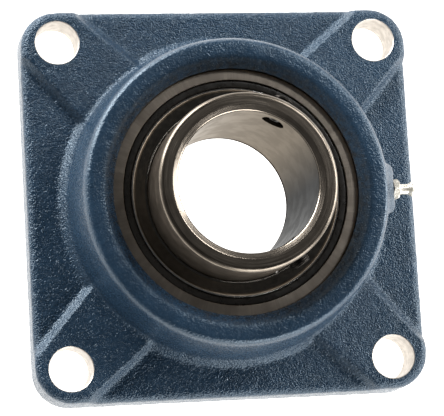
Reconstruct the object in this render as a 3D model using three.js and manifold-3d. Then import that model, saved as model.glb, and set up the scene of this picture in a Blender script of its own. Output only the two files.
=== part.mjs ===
// Four-bolt square flange mount bearing, size 212: an iron housing that holds a self-aligning
// ball bearing with a wide inner ring, locked to a 60 mm shaft by two set screws.
// Millimetres. The origin is the centre of the mounting face, +Z runs along the bore
// towards the collar, and +X points at the grease nipple.

import * as THREE from 'three';
import { mergeVertices } from 'three/addons/utils/BufferGeometryUtils.js';
import Module from 'manifold-3d';

const wasm = await Module();
wasm.setup();

// ---------------------------------------------------------------- driving dimensions

const RING_SEGMENTS = 48; // sides of a full turn on the housing and the bearing rings
const CAGE_SEGMENTS = 40; // sides of a full turn on the cage, four to each ball
const GAP = 0.3; // clearance between neighbouring pieces

const FLANGE = { side: 175, backStraight: 1, draft: 1.2, field: 14.2, pad: 18, corner: 16 };
const WEB = { topHalfWidth: 16, footHalfWidth: 19.8, length: 260 };
const BOLT = { spacing: 143, holeRadius: 9.5 };
const BOSS = {
  height: 48, footRadius: 72.4, baseRadius: 69.6, rimRadius: 66, rimRound: 3,
  lipRadius: 57.5, lipDepth: 5,
};
const RECESS = { radius: 57.5, depth: 12.8 }; // cored opening in the mounting face
const SEAT = { centreZ: 29, halfWidth: 14, slotWidth: 25 };
const GREASE_GROOVE = { z: 37, halfWidth: 2, depth: 1.3 };
const NIPPLE_PAD = { x: 70, halfWidth: 14, topZ: 41.5, wallX: 66, wallZ: 45.5, bottomZ: 10 };
const NIPPLE = {
  z: 37, acrossFlats: 8.2, hexStart: 70.3, hexHeight: 2.7, threadRadius: 3.1, threadLength: 6.4,
  neckRadius: 2.15, headRadius: 3.2, tipX: 81.2, wayRadius: 1.3, mouthRadius: 0.7,
};

const OUTER_RING = {
  sphereRadius: 55, halfWidth: 12, chamfer: 0.9, lipRadius: 49, landRadius: 47.2,
  sealGroove: 50, lipWidth: 1.35, grooveWidth: 1.35, greaseHoleRadius: 1,
};
const INNER_RING = {
  boreRadius: 30, outerRadius: 38.25, rearZ: 3.6, frontZ: 68.7, edge: 1.25,
  frontBoreEdge: 2.3, rearBoreEdge: 1.1,
};
const BALL = { count: 10, radius: 7.9375, pitchRadius: 42.5 };
const RACEWAY = { grooveRadius: 8.3, clearance: 0.35 };
const CAGE = {
  innerRadius: 39.6, outerRadius: 45.4, sheet: 1, pocketRadius: 8.35, cupRadius: 9.2,
};
const RIVET = { shankRadius: 1.2, headRadius: 2.2, headHeight: 0.9, holeRadius: 1.6 };
const SEAL = {
  lipRadius: 38.65, step: 45.9, shoulder: 46.3, rimRadius: 48.65, beadRadius: 49.65,
  inset: 9.6, faceInset: 10.35, topInset: 10.95, lipInset: 9.45,
};
const FLINGER = { innerRadius: 38.55, outerRadius: 45.5, backInset: 10.6, faceInset: 11.65 };
const SET_SCREW = {
  z: 58.7, radius: 4.7, outerEnd: 41.05, innerEnd: 31, socketFlats: 5, socketDepth: 4.6,
  coneLength: 1.6, coneRadius: 2.6, anglesDeg: [63, -57],
};

const SEAT_RADIUS = OUTER_RING.sphereRadius + GAP + 0.05;
const DEG = Math.PI / 180;

// ---------------------------------------------------------------- finishes

const finish = (color, roughness, metalness) =>
  new THREE.MeshStandardMaterial({ color, roughness, metalness });

const paint = () => finish(0x2b4560, 0.5, 0.1);
const ringSteel = () => finish(0x8d857b, 0.32, 0.9);
const ballSteel = () => finish(0xd5d7da, 0.12, 1);
const sheetSteel = () => finish(0xa9a49a, 0.4, 0.9);
const sealRubber = () => finish(0x1b1a19, 0.6, 0);
const screwSteel = () => finish(0x3a3632, 0.45, 0.8);
const zinc = () => finish(0xd8d4c4, 0.3, 0.95);

// ---------------------------------------------------------------- solids

/** Turns a closed geometry into a solid that can be joined and cut. */
function solid(geometry) {
  const bare = geometry.index ? geometry.toNonIndexed() : geometry.clone();
  bare.deleteAttribute('normal');
  bare.deleteAttribute('uv');
  const merged = mergeVertices(bare, 1e-4);
  return new wasm.Manifold(new wasm.Mesh({
    numProp: 3,
    vertProperties: new Float32Array(merged.attributes.position.array),
    triVerts: new Uint32Array(merged.index.array),
  }));
}

/** Turns a solid back into a geometry. */
function geometryOf(body) {
  const mesh = body.getMesh();
  const geometry = new THREE.BufferGeometry();
  geometry.setAttribute('position', new THREE.BufferAttribute(mesh.vertProperties, 3));
  geometry.setIndex(new THREE.BufferAttribute(mesh.triVerts, 1));
  geometry.computeVertexNormals();
  return geometry;
}

/** A profile of [radius, z] points, closed on itself and turned about the Z axis. */
function turned(profile, segments = RING_SEGMENTS) {
  const points = [...profile, profile[0]].map(([r, z]) => new THREE.Vector2(r, z));
  return new THREE.LatheGeometry(points, segments).rotateX(Math.PI / 2);
}

/** A profile that starts and ends on the axis, turned about the Z axis. */
function turnedFull(profile, segments = RING_SEGMENTS) {
  const points = profile.map(([r, z]) => new THREE.Vector2(r, z));
  return new THREE.LatheGeometry(points, segments).rotateX(Math.PI / 2);
}

/** Points of an arc in the profile plane, ends included; angles in degrees from +radius. */
function arc(centreR, centreZ, radius, from, to, steps) {
  return Array.from({ length: steps + 1 }, (_, i) => {
    const a = (from + ((to - from) * i) / steps) * DEG;
    return [centreR + radius * Math.cos(a), centreZ + radius * Math.sin(a)];
  });
}

/** A cylinder along Z from z0 to z1, its flats or vertices turned by phase. */
function rod(radius, z0, z1, segments = 24, phase = 0) {
  return new THREE.CylinderGeometry(radius, radius, z1 - z0, segments)
    .rotateX(Math.PI / 2)
    .rotateZ(phase)
    .translate(0, 0, (z0 + z1) / 2);
}

/** Turns a geometry made along +Z so that it points along +X at height z. */
const alongX = (geometry, z) => geometry.rotateY(Math.PI / 2).translate(0, 0, z);

/** Angle in degrees at which a circle of the given radius reaches a height above its centre. */
const riseAngle = (height, radius) => Math.asin(height / radius) / DEG;

// ---------------------------------------------------------------- housing

/** The rounded square of the flange, its sides drafted towards the front, up to a height. */
function flangeBlock(height) {
  const half = FLANGE.side / 2 - FLANGE.corner;
  const outline = new THREE.Shape();
  outline.absarc(half, half, FLANGE.corner, 0, Math.PI / 2);
  outline.absarc(-half, half, FLANGE.corner, Math.PI / 2, Math.PI);
  outline.absarc(-half, -half, FLANGE.corner, Math.PI, 1.5 * Math.PI);
  outline.absarc(half, -half, FLANGE.corner, 1.5 * Math.PI, 2 * Math.PI);
  const block = new THREE.ExtrudeGeometry(outline, {
    depth: FLANGE.backStraight, curveSegments: 6, bevelSegments: 1,
    bevelThickness: height - FLANGE.backStraight, bevelSize: FLANGE.draft,
    bevelOffset: -FLANGE.draft,
  });
  const below = new THREE.BoxGeometry(400, 400, 100).translate(0, 0, -50);
  return solid(block).subtract(solid(below));
}

/** A bar with sloping sides that runs along one diagonal from corner to corner. */
function diagonalWeb(angle) {
  const section = new THREE.Shape([
    new THREE.Vector2(-WEB.footHalfWidth, 5),
    new THREE.Vector2(WEB.footHalfWidth, 5),
    new THREE.Vector2(WEB.footHalfWidth, FLANGE.field),
    new THREE.Vector2(WEB.topHalfWidth, FLANGE.pad),
    new THREE.Vector2(-WEB.topHalfWidth, FLANGE.pad),
    new THREE.Vector2(-WEB.footHalfWidth, FLANGE.field),
  ]);
  const bar = new THREE.ExtrudeGeometry(section, { depth: WEB.length, bevelEnabled: false });
  bar.translate(0, 0, -WEB.length / 2).rotateX(Math.PI / 2).rotateZ(angle);
  return solid(bar);
}

/** The round boss as a full solid, before its bore is cut. */
function bossBlank() {
  const roundCentre = BOSS.rimRadius - BOSS.rimRound;
  return solid(turnedFull([
    [0, 1],
    [BOSS.footRadius, 1],
    [BOSS.footRadius, FLANGE.field],
    [BOSS.baseRadius + 0.6, FLANGE.pad - 1.6],
    [BOSS.baseRadius, FLANGE.pad + 1],
    ...arc(roundCentre, BOSS.height - BOSS.rimRound, BOSS.rimRound, 0, 90, 3),
    [0, BOSS.height],
  ]));
}

/** The flat land on the boss that the grease nipple stands on. */
function nipplePad() {
  const side = new THREE.Shape([
    new THREE.Vector2(50, NIPPLE_PAD.bottomZ),
    new THREE.Vector2(NIPPLE_PAD.x, NIPPLE_PAD.bottomZ),
    new THREE.Vector2(NIPPLE_PAD.x, NIPPLE_PAD.topZ),
    new THREE.Vector2(NIPPLE_PAD.wallX, NIPPLE_PAD.wallZ),
    new THREE.Vector2(50, NIPPLE_PAD.wallZ),
  ]);
  const block = new THREE.ExtrudeGeometry(side, {
    depth: 2 * NIPPLE_PAD.halfWidth, bevelEnabled: false,
  });
  block.rotateX(Math.PI / 2).translate(0, NIPPLE_PAD.halfWidth, 0);
  return solid(block);
}

/** Everything that is cored or bored out around the axis: recess, seat, groove and lip. */
function housingBore() {
  const { centreZ, halfWidth } = SEAT;
  const lowAngle = riseAngle(-halfWidth, SEAT_RADIUS);
  const grooveLow = riseAngle(GREASE_GROOVE.z - GREASE_GROOVE.halfWidth - centreZ, SEAT_RADIUS);
  const grooveHigh = riseAngle(GREASE_GROOVE.z + GREASE_GROOVE.halfWidth - centreZ, SEAT_RADIUS);
  const seatBelow = arc(0, centreZ, SEAT_RADIUS, lowAngle, grooveLow, 5);
  const grooveFloor = SEAT_RADIUS * Math.cos(grooveHigh * DEG) + GREASE_GROOVE.depth;
  const seatAbove = arc(0, centreZ, SEAT_RADIUS, grooveHigh, -lowAngle, 1);
  return solid(turnedFull([
    [0, -1],
    [RECESS.radius, -1],
    [RECESS.radius, RECESS.depth],
    ...seatBelow,
    [grooveFloor, GREASE_GROOVE.z - GREASE_GROOVE.halfWidth],
    [grooveFloor, GREASE_GROOVE.z + GREASE_GROOVE.halfWidth],
    ...seatAbove,
    [BOSS.lipRadius, BOSS.height],
    [BOSS.lipRadius, BOSS.height + 1],
    [0, BOSS.height + 1],
  ]));
}

/** The pair of notches behind the seat, through which the bearing goes in sideways. */
function loadingSlots() {
  const round = solid(rod(SEAT_RADIUS, -1, SEAT.centreZ, RING_SEGMENTS, Math.PI / RING_SEGMENTS));
  const slab = new THREE.BoxGeometry(2 * FLANGE.side, SEAT.slotWidth, 2 * SEAT.centreZ);
  return round.intersect(solid(slab));
}

/** The threaded hole under the nipple and the thin passage on to the seat's groove. */
function greasePassage() {
  const thread = alongX(
    rod(NIPPLE.threadRadius + GAP, NIPPLE.hexStart - NIPPLE.threadLength - 1, 80, 12), NIPPLE.z);
  const passage = alongX(rod(1.6, 50, NIPPLE.hexStart, 10), NIPPLE.z);
  return solid(thread).add(solid(passage));
}

function housing() {
  const webs = diagonalWeb(Math.PI / 4).add(diagonalWeb(-Math.PI / 4));
  let body = flangeBlock(FLANGE.field)
    .add(flangeBlock(FLANGE.pad).intersect(webs))
    .add(bossBlank())
    .add(nipplePad())
    .subtract(housingBore())
    .subtract(loadingSlots())
    .subtract(greasePassage());
  for (const [sx, sy] of [[1, 1], [-1, 1], [-1, -1], [1, -1]]) {
    const hole = rod(BOLT.holeRadius, -5, 40, 24);
    hole.translate((sx * BOLT.spacing) / 2, (sy * BOLT.spacing) / 2, 0);
    body = body.subtract(solid(hole));
  }
  return geometryOf(body);
}

// ---------------------------------------------------------------- bearing rings

/** Height above the ball centre at which a raceway groove meets a ring's land. */
function grooveHalfWidth(bottomRadius, landRadius, outwards) {
  const centre = bottomRadius - outwards * RACEWAY.grooveRadius;
  return Math.sqrt(RACEWAY.grooveRadius ** 2 - (landRadius - centre) ** 2);
}

function outerRing() {
  const { sphereRadius, halfWidth, chamfer, lipRadius, landRadius } = OUTER_RING;
  const { sealGroove, lipWidth, grooveWidth } = OUTER_RING;
  const bottom = BALL.pitchRadius + BALL.radius + RACEWAY.clearance;
  const centre = bottom - RACEWAY.grooveRadius;
  const open = riseAngle(grooveHalfWidth(bottom, landRadius, 1), RACEWAY.grooveRadius);
  const outside = riseAngle(halfWidth - chamfer / 2, sphereRadius);
  const faceRadius = sphereRadius * Math.cos(outside * DEG) - chamfer;
  const half = [
    [landRadius, halfWidth - lipWidth - grooveWidth],
    [sealGroove, halfWidth - lipWidth - grooveWidth],
    [sealGroove, halfWidth - lipWidth],
    [lipRadius, halfWidth - lipWidth],
    [lipRadius, halfWidth],
    [faceRadius, halfWidth],
  ];
  const mirrored = half.map(([r, z]) => [r, -z]).reverse();
  const profile = [
    ...arc(0, 0, sphereRadius, -outside, outside, 4),
    ...half.slice().reverse(),
    ...arc(centre, 0, RACEWAY.grooveRadius, open, -open, 5),
    ...mirrored.slice().reverse(),
  ];
  const ring = solid(turned(profile.map(([r, z]) => [r, z + SEAT.centreZ])));
  const hole = alongX(rod(OUTER_RING.greaseHoleRadius, 44, 60, 8), GREASE_GROOVE.z);
  return geometryOf(ring.subtract(solid(hole)));
}

function innerRing() {
  const { boreRadius, outerRadius, rearZ, frontZ, edge } = INNER_RING;
  const { frontBoreEdge, rearBoreEdge } = INNER_RING;
  const bottom = BALL.pitchRadius - BALL.radius - RACEWAY.clearance;
  const centre = bottom + RACEWAY.grooveRadius;
  const open = riseAngle(grooveHalfWidth(bottom, outerRadius, -1), RACEWAY.grooveRadius);
  let ring = solid(turned([
    [boreRadius, rearZ + rearBoreEdge],
    [boreRadius + rearBoreEdge, rearZ],
    [outerRadius - edge, rearZ],
    [outerRadius, rearZ + edge],
    ...arc(centre, SEAT.centreZ, RACEWAY.grooveRadius, 180 + open, 180 - open, 5),
    [outerRadius, frontZ - edge],
    [outerRadius - edge, frontZ],
    [boreRadius + frontBoreEdge, frontZ],
    [boreRadius, frontZ - frontBoreEdge],
  ]));
  for (const degrees of SET_SCREW.anglesDeg) {
    const hole = alongX(rod(SET_SCREW.radius + GAP, 25, 45, 20), SET_SCREW.z);
    ring = ring.subtract(solid(hole.rotateZ(degrees * DEG)));
  }
  return geometryOf(ring);
}

// ---------------------------------------------------------------- balls and cage

const ballAngle = (index) => (2 * Math.PI * index) / BALL.count;
const rivetAngle = (index) => ballAngle(index + 0.5);

/** A sphere of flat triangles whose corners lie on the given radius. */
const facetedSphere = (radius, detail) => new THREE.IcosahedronGeometry(radius, detail);

/** The front half of the ribbon cage: a flat ring that arches over each ball. */
function cageHalf() {
  const { innerRadius, outerRadius, sheet, pocketRadius, cupRadius } = CAGE;
  const band = (z0, z1) => solid(turned([
    [innerRadius, z0], [outerRadius, z0], [outerRadius, z1], [innerRadius, z1],
  ], CAGE_SEGMENTS));
  const parting = GAP / 2;
  let cups = null;
  let pockets = null;
  for (let i = 0; i < BALL.count; i += 1) {
    const radial = (radius) => alongX(rod(radius, 30, 55, 16), 0).rotateZ(ballAngle(i));
    const cup = solid(radial(cupRadius));
    const pocket = solid(radial(pocketRadius));
    cups = cups ? cups.add(cup) : cup;
    pockets = pockets ? pockets.add(pocket) : pocket;
  }
  let ribbon = cups.intersect(band(parting, cupRadius + 1));
  ribbon = ribbon.add(band(parting, parting + sheet)).subtract(pockets);
  for (let i = 0; i < BALL.count; i += 1) {
    const hole = rod(RIVET.holeRadius, -5, 5, 6).translate(BALL.pitchRadius, 0, 0);
    ribbon = ribbon.subtract(solid(hole.rotateZ(rivetAngle(i))));
  }
  return geometryOf(ribbon);
}

/** A rivet with a head at each end, centred on the parting plane of the cage. */
function cageRivet() {
  const { shankRadius, headRadius, headHeight } = RIVET;
  const under = GAP / 2 + CAGE.sheet + GAP;
  return turnedFull([
    [0, -under - headHeight],
    [headRadius * 0.7, -under - headHeight],
    [headRadius, -under],
    [shankRadius, -under],
    [shankRadius, under],
    [headRadius, under],
    [headRadius * 0.7, under + headHeight],
    [0, under + headHeight],
  ], 6);
}

// ---------------------------------------------------------------- seals and flingers

/** The front seal, about the ball centre: a lip on the inner ring, a bead in the outer ring. */
function seal() {
  const { lipRadius, step, shoulder, rimRadius, beadRadius } = SEAL;
  const { inset, faceInset, topInset, lipInset } = SEAL;
  return turned([
    [lipRadius, lipInset],
    [beadRadius, inset],
    [beadRadius, faceInset],
    [rimRadius, faceInset],
    [rimRadius - 0.35, topInset],
    [shoulder, topInset],
    [step, faceInset - 0.05],
    [lipRadius, faceInset - 0.05],
  ]);
}

/** The front flinger, about the ball centre: a flat ring that turns with the inner ring. */
function flinger() {
  const { innerRadius, outerRadius, backInset, faceInset } = FLINGER;
  return turned([
    [innerRadius, backInset],
    [outerRadius, backInset],
    [outerRadius, faceInset - 0.4],
    [outerRadius - 0.7, faceInset],
    [innerRadius, faceInset],
  ]);
}

// ---------------------------------------------------------------- screws and nipple

/** A set screw along +Z, with a hexagon socket at its outer end and a cone at its point. */
function setScrew() {
  const { radius, outerEnd, innerEnd, coneLength, coneRadius } = SET_SCREW;
  const blank = turnedFull([
    [0, innerEnd],
    [coneRadius, innerEnd],
    [radius, innerEnd + coneLength],
    [radius, outerEnd - 0.6],
    [radius - 0.6, outerEnd],
    [0, outerEnd],
  ], 16);
  const corner = SET_SCREW.socketFlats / Math.sqrt(3);
  const socket = rod(corner, outerEnd - SET_SCREW.socketDepth, outerEnd + 5, 6);
  return geometryOf(solid(blank).subtract(solid(socket)));
}

/** The nipple body along +Z: thread, hexagon, neck and head, with the grease way through it. */
function nippleBody() {
  const { acrossFlats, hexStart, hexHeight, threadRadius, threadLength } = NIPPLE;
  const { neckRadius, headRadius, tipX, wayRadius, mouthRadius } = NIPPLE;
  const hexTop = hexStart + hexHeight;
  const stem = solid(turnedFull([
    [0, hexStart - threadLength],
    [threadRadius, hexStart - threadLength],
    [threadRadius, hexStart + 0.1],
    [threadRadius, hexTop],
    [neckRadius + 0.3, hexTop + 1.7],
    [neckRadius, tipX - 3.8],
    [headRadius, tipX - 2.6],
    [headRadius, tipX - 1.5],
    [headRadius * 0.6, tipX],
    [0, tipX],
  ], 16));
  const hexagon = solid(rod(acrossFlats / Math.sqrt(3), hexStart, hexTop, 6));
  const way = solid(turnedFull([
    [0, hexStart - threadLength - 1],
    [wayRadius, hexStart - threadLength - 1],
    [wayRadius, tipX - 1.6],
    [mouthRadius, tipX - 0.7],
    [mouthRadius, tipX + 1],
    [0, tipX + 1],
  ], 10));
  return geometryOf(stem.add(hexagon).subtract(way));
}

/** The spring behind the nipple's check ball, as the tube that its coils fill. */
function nippleSpring() {
  const top = NIPPLE.tipX - 3.3;
  const bottom = top - 5;
  return turned([[0.45, bottom], [0.95, bottom], [0.95, top], [0.45, top]], 10);
}

// ---------------------------------------------------------------- assembly

/** Adds a named mesh to a group. */
function place(group, name, geometry, material) {
  const mesh = new THREE.Mesh(geometry, material);
  mesh.name = name;
  group.add(mesh);
  return mesh;
}

const twoDigits = (index) => String(index + 1).padStart(2, '0');

function ballsAndCage() {
  const group = new THREE.Group();
  group.position.z = SEAT.centreZ;
  for (let i = 0; i < BALL.count; i += 1) {
    const ball = place(group, `ball_${twoDigits(i)}`, facetedSphere(BALL.radius, 2), ballSteel());
    ball.position.set(
      BALL.pitchRadius * Math.cos(ballAngle(i)), BALL.pitchRadius * Math.sin(ballAngle(i)), 0);
    const rivet = place(group, `cage_rivet_${twoDigits(i)}`, cageRivet(), sheetSteel());
    rivet.position.set(
      BALL.pitchRadius * Math.cos(rivetAngle(i)), BALL.pitchRadius * Math.sin(rivetAngle(i)), 0);
  }
  place(group, 'cage_half_front', cageHalf(), sheetSteel());
  place(group, 'cage_half_rear', cageHalf(), sheetSteel()).rotation.x = Math.PI;
  return group;
}

function sealsAndFlingers() {
  const group = new THREE.Group();
  group.position.z = SEAT.centreZ;
  place(group, 'seal_front', seal(), sealRubber());
  place(group, 'seal_rear', seal(), sealRubber()).rotation.x = Math.PI;
  place(group, 'flinger_front', flinger(), sealRubber());
  place(group, 'flinger_rear', flinger(), sealRubber()).rotation.x = Math.PI;
  return group;
}

function setScrews() {
  const group = new THREE.Group();
  group.position.z = SET_SCREW.z;
  SET_SCREW.anglesDeg.forEach((degrees, i) => {
    const screw = place(group, `set_screw_${i + 1}`, setScrew(), screwSteel());
    screw.rotation.set(0, Math.PI / 2, degrees * DEG, 'ZYX');
  });
  return group;
}

function greaseNipple() {
  const group = new THREE.Group();
  group.position.z = NIPPLE.z;
  group.rotation.y = Math.PI / 2;
  place(group, 'grease_nipple_body', nippleBody(), zinc());
  const ball = place(group, 'grease_nipple_ball', facetedSphere(0.95, 1), ballSteel());
  ball.position.z = NIPPLE.tipX - 2.2;
  place(group, 'grease_nipple_spring', nippleSpring(), sheetSteel());
  return group;
}

const assembly = new THREE.Group();
place(assembly, 'housing', housing(), paint());
place(assembly, 'outer_ring', outerRing(), ringSteel());
place(assembly, 'inner_ring', innerRing(), ringSteel());
assembly.add(ballsAndCage(), sealsAndFlingers(), setScrews(), greaseNipple());

export default assembly;
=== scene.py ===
"""Looks of a four-bolt flange mount bearing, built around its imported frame.

Pieces are modelled in millimetres with the origin at the centre of the mounting face and +Z
along the bore, as the frame is, and each finished piece is brought to metres in one step.
"""

import logging
import math
from collections.abc import Callable, Iterator, Sequence
from contextlib import contextmanager
from dataclasses import dataclass
from enum import Enum

import bpy
from mathutils import Matrix, Vector


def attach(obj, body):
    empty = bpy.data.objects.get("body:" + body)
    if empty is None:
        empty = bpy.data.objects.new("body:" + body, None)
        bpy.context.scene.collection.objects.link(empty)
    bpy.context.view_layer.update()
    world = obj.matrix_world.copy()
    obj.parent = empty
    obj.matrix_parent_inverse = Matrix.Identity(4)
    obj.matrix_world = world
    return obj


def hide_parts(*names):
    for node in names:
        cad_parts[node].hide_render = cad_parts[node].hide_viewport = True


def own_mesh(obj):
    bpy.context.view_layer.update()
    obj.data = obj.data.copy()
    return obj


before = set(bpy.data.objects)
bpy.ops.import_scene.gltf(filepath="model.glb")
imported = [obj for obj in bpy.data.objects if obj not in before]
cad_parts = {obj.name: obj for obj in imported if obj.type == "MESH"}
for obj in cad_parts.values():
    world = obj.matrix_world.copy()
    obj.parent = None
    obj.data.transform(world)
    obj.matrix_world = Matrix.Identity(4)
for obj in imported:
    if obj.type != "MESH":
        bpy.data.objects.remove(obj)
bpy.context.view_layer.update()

Point = tuple[float, float]
Colour = tuple[float, float, float]

LOG = logging.getLogger("flange_bearing")
MM = 0.001
FULL_TURN = 2 * math.pi
WELD = 1e-4


# ---------------------------------------------------------------- hand tools


def deselect_all() -> None:
    """Clear the object selection."""
    bpy.ops.object.select_all(action="DESELECT")


def activate(piece: bpy.types.Object) -> None:
    """Select one object alone and make it the active one.

    Args:
        piece: The object to work on.
    """
    deselect_all()
    piece.select_set(True)
    bpy.context.view_layer.objects.active = piece


def select_whole() -> None:
    """Select the whole mesh that is being edited."""
    bpy.ops.mesh.select_all(action="SELECT")


def settle() -> None:
    """Put the active object's place and size into its mesh."""
    bpy.ops.object.transform_apply(location=True, rotation=True, scale=True)


@contextmanager
def edit_mode(
    piece: bpy.types.Object, mode: str = "VERT", whole: bool = False
) -> Iterator[None]:
    """Work on a piece in edit mode and leave it in object mode.

    Args:
        piece: The object to edit.
        mode: The selection mode, VERT, EDGE or FACE.
        whole: Whether the whole mesh is selected first.
    """
    activate(piece)
    kinds = ("VERT", "EDGE", "FACE")
    bpy.context.tool_settings.mesh_select_mode = [mode == kind for kind in kinds]
    bpy.ops.object.mode_set(mode="EDIT")
    if whole:
        select_whole()
    yield
    bpy.ops.object.mode_set(mode="OBJECT")


def select_vertices(piece: bpy.types.Object, test: Callable[[Vector], bool]) -> None:
    """Select the vertices that pass a test, and the edges and faces between them.

    Args:
        piece: The object, in object mode.
        test: Takes a vertex position in the mesh and says whether it is wanted.
    """
    mesh = piece.data
    for vertex in mesh.vertices:
        vertex.select = test(vertex.co)
    for edge in mesh.edges:
        edge.select = all(mesh.vertices[i].select for i in edge.vertices)
    for face in mesh.polygons:
        face.select = all(mesh.vertices[i].select for i in face.vertices)


def select_edges(piece: bpy.types.Object, test: Callable[[Vector, Vector], bool]) -> None:
    """Select the edges that pass a test.

    Args:
        piece: The object, in object mode.
        test: Takes the positions of an edge's two ends and says whether it is wanted.
    """
    mesh = piece.data
    for part in (*mesh.vertices, *mesh.polygons):
        part.select = False
    for edge in mesh.edges:
        start, end = (mesh.vertices[i] for i in edge.vertices)
        edge.select = test(start.co, end.co)
        if edge.select:
            start.select = end.select = True


def apply_modifier(piece: bpy.types.Object, kind: str, **settings: object) -> None:
    """Add a modifier with its settings and apply it.

    Args:
        piece: The object that takes the modifier.
        kind: The modifier's type, such as BEVEL.
        **settings: Attributes to set on the modifier.
    """
    activate(piece)
    modifier = piece.modifiers.new(kind.title(), kind)
    for name, value in settings.items():
        setattr(modifier, name, value)
    bpy.ops.object.modifier_apply(modifier=modifier.name)


def combine(piece: bpy.types.Object, tool: bpy.types.Object, operation: str) -> None:
    """Join, cut or trim a piece with a second solid, which is used up.

    Args:
        piece: The solid that stays.
        tool: The solid that is taken away afterwards. New faces take its material.
        operation: UNION, DIFFERENCE or INTERSECT.
    """
    apply_modifier(
        piece, "BOOLEAN", object=tool, operation=operation, solver="EXACT", material_mode="TRANSFER"
    )
    bpy.data.objects.remove(tool, do_unlink=True)


def join(piece: bpy.types.Object, *others: bpy.types.Object) -> None:
    """Put several solids into one object, shells and all.

    Args:
        piece: The object that stays.
        *others: The objects that go into it.
    """
    activate(piece)
    for other in others:
        other.select_set(True)
    bpy.ops.object.join()


def bevel_sharp(
    piece: bpy.types.Object, width: float, segments: int = 2, sharp: float = 32
) -> None:
    """Round the sharp edges of a solid.

    Args:
        piece: The solid.
        width: Width of the rounding.
        segments: Facets across the rounding.
        sharp: Edges steeper than this many degrees are rounded.
    """
    apply_modifier(
        piece, "BEVEL", width=width, segments=segments, limit_method="ANGLE",
        angle_limit=math.radians(sharp), harden_normals=False,
    )


def weld(piece: bpy.types.Object) -> None:
    """Merge doubled vertices and turn all faces outwards."""
    with edit_mode(piece, whole=True):
        bpy.ops.mesh.remove_doubles(threshold=WELD)
        bpy.ops.mesh.normals_make_consistent(inside=False)


def arc(centre: Point, radius: float, start: float, end: float, steps: int) -> list[Point]:
    """Points along an arc in the profile plane.

    Args:
        centre: Centre as radius and height.
        radius: Radius of the arc.
        start: First angle in degrees, from the outward direction.
        end: Last angle in degrees.
        steps: Number of chords.

    Returns:
        The points, both ends included.
    """
    angles = [math.radians(start + (end - start) * i / steps) for i in range(steps + 1)]
    return [(centre[0] + radius * math.cos(a), centre[1] + radius * math.sin(a)) for a in angles]


def outline(name: str, points: Sequence[Point], closed: bool) -> bpy.types.Object:
    """Draw a line through points in the XZ plane by extruding one vertex again and again.

    Args:
        name: Name of the new object.
        points: Radius and height of each point.
        closed: Whether the line returns to its first point.

    Returns:
        The wire object.
    """
    deselect_all()
    first = points[0]
    bpy.ops.mesh.primitive_plane_add(size=1.0, location=(first[0], 0.0, first[1]))
    wire = bpy.context.object
    wire.name = name
    settle()
    route = [*points, first] if closed else list(points)
    with edit_mode(wire, whole=True):
        bpy.ops.mesh.merge(type="CENTER")
        for here, there in zip(route, route[1:]):
            step = (there[0] - here[0], 0.0, there[1] - here[1])
            bpy.ops.mesh.extrude_region_move(TRANSFORM_OT_translate={"value": step})
        select_whole()
        bpy.ops.mesh.remove_doubles(threshold=WELD)
    return wire


def turned(
    name: str, profile: Sequence[Point], closed: bool = True, steps: int = 180
) -> bpy.types.Object:
    """Spin a profile about the Z axis into a closed solid.

    Args:
        name: Name of the new object.
        profile: Radius and height of each point; an open one starts and ends on the axis.
        closed: Whether the profile returns to its first point.
        steps: Facets in a full turn.

    Returns:
        The turned solid.
    """
    solid = outline(name, profile, closed)
    with edit_mode(solid, whole=True):
        bpy.ops.mesh.spin(steps=steps, angle=FULL_TURN, center=(0, 0, 0), axis=(0, 0, 1))
    weld(solid)
    return solid


def block(name: str, low: Sequence[float], high: Sequence[float]) -> bpy.types.Object:
    """Make a box between two corners, as the start of a piece or a tool."""
    size = [b - a for a, b in zip(low, high)]
    middle = [(a + b) / 2 for a, b in zip(low, high)]
    deselect_all()
    bpy.ops.mesh.primitive_cube_add(size=1.0, location=middle)
    box = bpy.context.object
    box.name = name
    box.scale = size
    settle()
    return box


def prism(name: str, sides: int, radius: float, low: float, high: float) -> bpy.types.Object:
    """Make an upright prism or cylinder on the Z axis.

    Args:
        name: Name of the new object.
        sides: Number of side faces.
        radius: Radius to the corners.
        low: Height of the bottom.
        high: Height of the top.

    Returns:
        The solid.
    """
    deselect_all()
    bpy.ops.mesh.primitive_cylinder_add(
        vertices=sides, radius=radius, depth=high - low, location=(0, 0, (low + high) / 2)
    )
    solid = bpy.context.object
    solid.name = name
    settle()
    return solid


def place(piece: bpy.types.Object, matrix: Matrix) -> None:
    """Put a place and turn into a piece's mesh."""
    piece.data.transform(matrix)
    piece.data.update()


def copy_of(piece: bpy.types.Object, name: str, matrix: Matrix) -> bpy.types.Object:
    """Copy a piece with its own mesh and put it somewhere else.

    Args:
        piece: The piece to copy.
        name: Name of the copy.
        matrix: Where the copy goes.

    Returns:
        The copy.
    """
    double = piece.copy()
    double.data = piece.data.copy()
    double.name = name
    bpy.context.collection.objects.link(double)
    place(double, matrix)
    if matrix.determinant() < 0:
        weld(double)
    return double


def about_z(degrees: float) -> Matrix:
    """Turn about the bore axis."""
    return Matrix.Rotation(math.radians(degrees), 4, "Z")


def along_x(height: float) -> Matrix:
    """Lay a part made along +Z down along +X at a height."""
    return Matrix.Translation((0, 0, height)) @ Matrix.Rotation(math.pi / 2, 4, "Y")


def mirrored_about(height: float) -> Matrix:
    """Mirror front to back through the plane of the ball centres."""
    return Matrix.Translation((0, 0, 2 * height)) @ Matrix.Scale(-1, 4, (0, 0, 1))


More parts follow.
